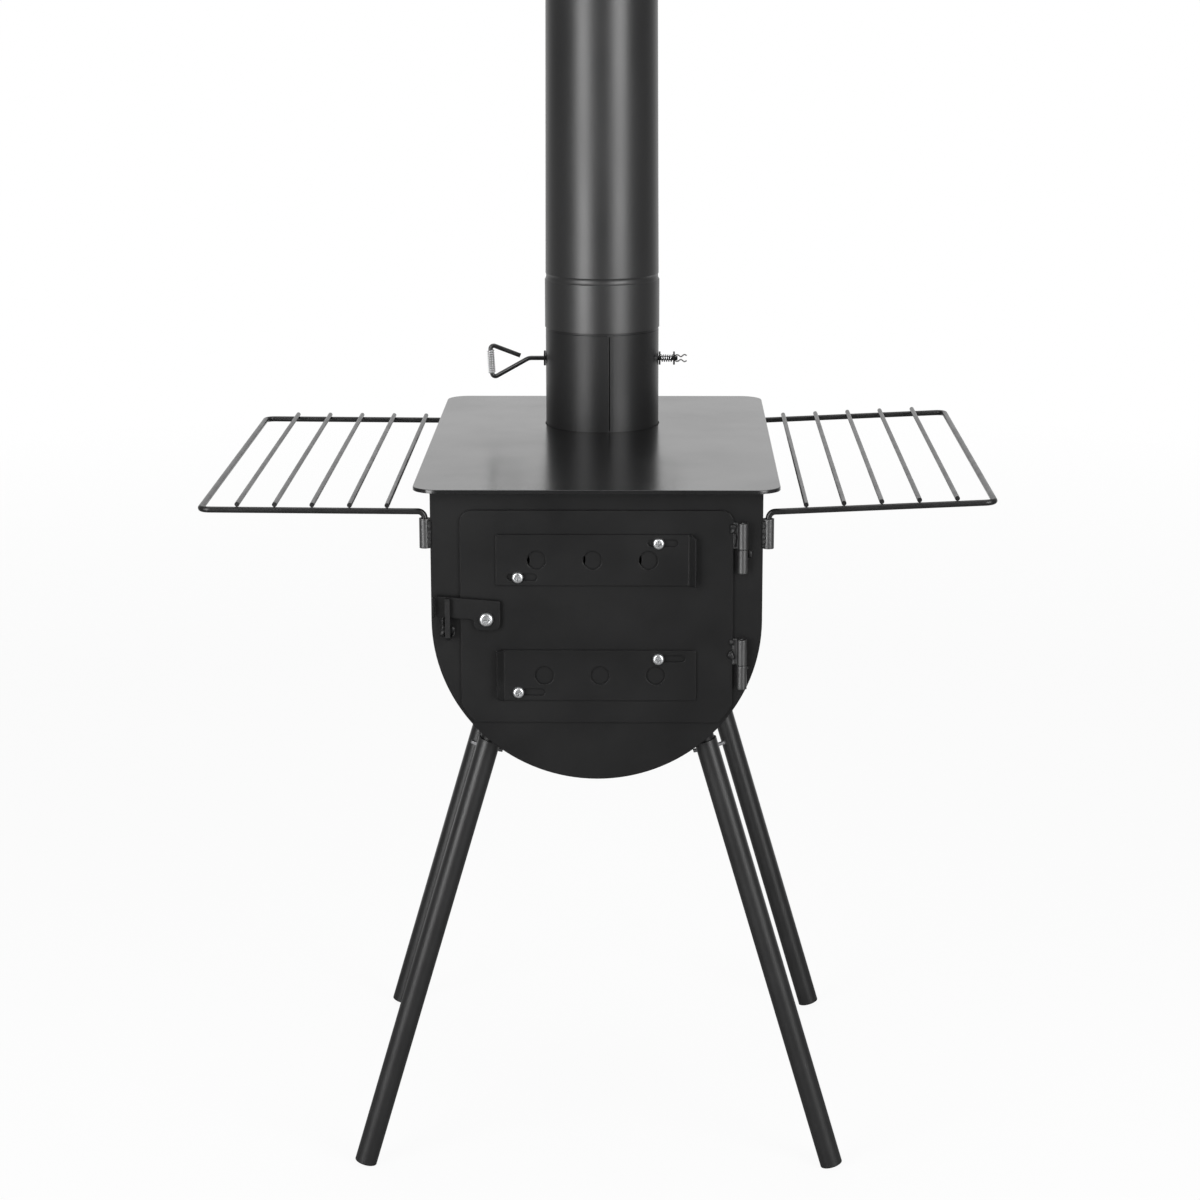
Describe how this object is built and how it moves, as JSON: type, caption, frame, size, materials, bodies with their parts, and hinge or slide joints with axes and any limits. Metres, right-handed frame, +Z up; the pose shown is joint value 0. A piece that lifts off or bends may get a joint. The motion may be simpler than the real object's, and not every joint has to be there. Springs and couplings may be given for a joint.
{
  "type": "tent wood stove",
  "caption": "Portable D-section wood stove on splayed legs, with a vented door, drop latch, lift-out side racks and a sectional chimney with a damper.",
  "frame": {"origin": "on the floor, under the middle of the cooktop", "axes": "+X to the right seen from the front, +Y from the door to the back, +Z up along the chimney"},
  "size_m": [0.6498, 0.46, 2.2281],
  "materials": {
    "stove_paint": "satin heat-proof black",
    "pipe_paint": "matte heat-proof black",
    "leg_paint": "semi-gloss black",
    "rack_paint": "semi-gloss black",
    "bright_zinc": "bright zinc plate",
    "washer_black": "black oxide",
    "bare_steel": "bare sheet steel",
    "grate_iron": "dull"
  },
  "bodies": {
    "stove": {"cooktop_plate": "stove_paint", "firebox_shell": "stove_paint", "front_plate": "stove_paint", "back_plate": "stove_paint", "flue_collar": "pipe_paint", "fire_grate": "grate_iron", "grate_rests": "grate_iron", "frame_hinge_knuckles": "stove_paint", "hinge_pins": "stove_paint", "latch_keeper": "stove_paint", "left_rack_sockets": "stove_paint", "right_rack_sockets": "stove_paint", "front_left_leg_stub": "stove_paint", "front_right_leg_stub": "stove_paint", "back_left_leg_stub": "stove_paint", "back_right_leg_stub": "stove_paint"},
    "door": {"door_panel": "stove_paint", "door_hinge_knuckles": "stove_paint", "upper_vent_screws": "bright_zinc", "lower_vent_screws": "bright_zinc", "latch_screw": "bright_zinc", "door_nuts": "bright_zinc", "latch_spacer": "bright_zinc"},
    "latch": {"latch_lever": "stove_paint"},
    "upper_vent": {"upper_vent_slider": "stove_paint"},
    "lower_vent": {"lower_vent_slider": "stove_paint"},
    "left_rack": {"left_rack_frame": "rack_paint", "left_rack_bars": "rack_paint"},
    "right_rack": {"right_rack_frame": "rack_paint", "right_rack_bars": "rack_paint"},
    "damper_pipe": {"damper_pipe": "pipe_paint"},
    "damper": {"damper_rod": "washer_black", "damper_disc": "bare_steel", "damper_washers": "washer_black", "damper_spring": "bright_zinc", "grip_spring": "bright_zinc", "split_pin": "bright_zinc"},
    "lower_pipe": {"lower_pipe": "pipe_paint"},
    "middle_pipe": {"middle_pipe": "pipe_paint"},
    "upper_pipe": {"upper_pipe": "pipe_paint"},
    "top_pipe": {"top_pipe": "pipe_paint"},
    "cap": {"cap_band": "pipe_paint", "cap_hat": "pipe_paint"},
    "front_left_leg": {"front_left_leg": "leg_paint", "front_left_leg_nut": "bright_zinc"},
    "front_left_wing_bolt": {"front_left_wing_bolt": "bright_zinc"},
    "front_right_leg": {"front_right_leg": "leg_paint", "front_right_leg_nut": "bright_zinc"},
    "front_right_wing_bolt": {"front_right_wing_bolt": "bright_zinc"},
    "back_left_leg": {"back_left_leg": "leg_paint", "back_left_leg_nut": "bright_zinc"},
    "back_left_wing_bolt": {"back_left_wing_bolt": "bright_zinc"},
    "back_right_leg": {"back_right_leg": "leg_paint", "back_right_leg_nut": "bright_zinc"},
    "back_right_wing_bolt": {"back_right_wing_bolt": "bright_zinc"}
  },
  "joints": [
    {"name": "door_hinge", "type": "hinge", "parent": "stove", "child": "door", "pos_m": [0.1186, -0.2205, 0.5033], "axis": [0, 0, 1], "range_deg": [0, 180]},
    {"name": "latch_pivot", "type": "hinge", "parent": "door", "child": "latch", "pos_m": [-0.0898, -0.221, 0.4931], "axis": [0, 1, 0], "range_deg": [0, 70]},
    {"name": "upper_vent_slide", "type": "slide", "parent": "door", "child": "upper_vent", "axis": [1, 0, 0], "range_m": [-0.013, 0.006]},
    {"name": "lower_vent_slide", "type": "slide", "parent": "door", "child": "lower_vent", "axis": [1, 0, 0], "range_m": [-0.019, 0]},
    {"name": "left_rack_lift", "type": "slide", "parent": "stove", "child": "left_rack", "axis": [0, 0, 1], "range_m": [0, 0.013]},
    {"name": "right_rack_lift", "type": "slide", "parent": "stove", "child": "right_rack", "axis": [0, 0, 1], "range_m": [0, 0.013]},
    {"name": "damper_pipe_lift", "type": "slide", "parent": "stove", "child": "damper_pipe", "axis": [0, 0, 1], "range_m": [0, 0.03]},
    {"name": "damper_turn", "type": "hinge", "parent": "damper_pipe", "child": "damper", "pos_m": [0, 0.084, 0.6609], "axis": [1, 0, 0], "continuous": true},
    {"name": "lower_pipe_lift", "type": "slide", "parent": "damper_pipe", "child": "lower_pipe", "axis": [0, 0, 1], "range_m": [0, 0.042]},
    {"name": "middle_pipe_lift", "type": "slide", "parent": "lower_pipe", "child": "middle_pipe", "axis": [0, 0, 1], "range_m": [0, 0.042]},
    {"name": "upper_pipe_lift", "type": "slide", "parent": "middle_pipe", "child": "upper_pipe", "axis": [0, 0, 1], "range_m": [0, 0.042]},
    {"name": "top_pipe_lift", "type": "slide", "parent": "upper_pipe", "child": "top_pipe", "axis": [0, 0, 1], "range_m": [0, 0.042]},
    {"name": "cap_lift", "type": "slide", "parent": "top_pipe", "child": "cap", "axis": [0, 0, 1], "range_m": [0, 0.04]},
    {"name": "front_left_leg_slide", "type": "slide", "parent": "stove", "child": "front_left_leg", "axis": [-0.2807, 0, -0.9598], "range_m": [0, 0.05]},
    {"name": "front_left_wing_bolt_turn", "type": "hinge", "parent": "front_left_leg", "child": "front_left_wing_bolt", "pos_m": [-0.09373, -0.1905, 0.3695], "axis": [0, 1, 0], "continuous": true},
    {"name": "front_right_leg_slide", "type": "slide", "parent": "stove", "child": "front_right_leg", "axis": [0.2807, 0, -0.9598], "range_m": [0, 0.05]},
    {"name": "front_right_wing_bolt_turn", "type": "hinge", "parent": "front_right_leg", "child": "front_right_wing_bolt", "pos_m": [0.09373, -0.1905, 0.3695], "axis": [0, 1, 0], "continuous": true},
    {"name": "back_left_leg_slide", "type": "slide", "parent": "stove", "child": "back_left_leg", "axis": [-0.2807, 0, -0.9598], "range_m": [0, 0.05]},
    {"name": "back_left_wing_bolt_turn", "type": "hinge", "parent": "back_left_leg", "child": "back_left_wing_bolt", "pos_m": [-0.09373, 0.1905, 0.3695], "axis": [0, -1, 0], "continuous": true},
    {"name": "back_right_leg_slide", "type": "slide", "parent": "stove", "child": "back_right_leg", "axis": [0.2807, 0, -0.9598], "range_m": [0, 0.05]},
    {"name": "back_right_wing_bolt_turn", "type": "hinge", "parent": "back_right_leg", "child": "back_right_wing_bolt", "pos_m": [0.09373, 0.1905, 0.3695], "axis": [0, -1, 0], "continuous": true}
  ]
}
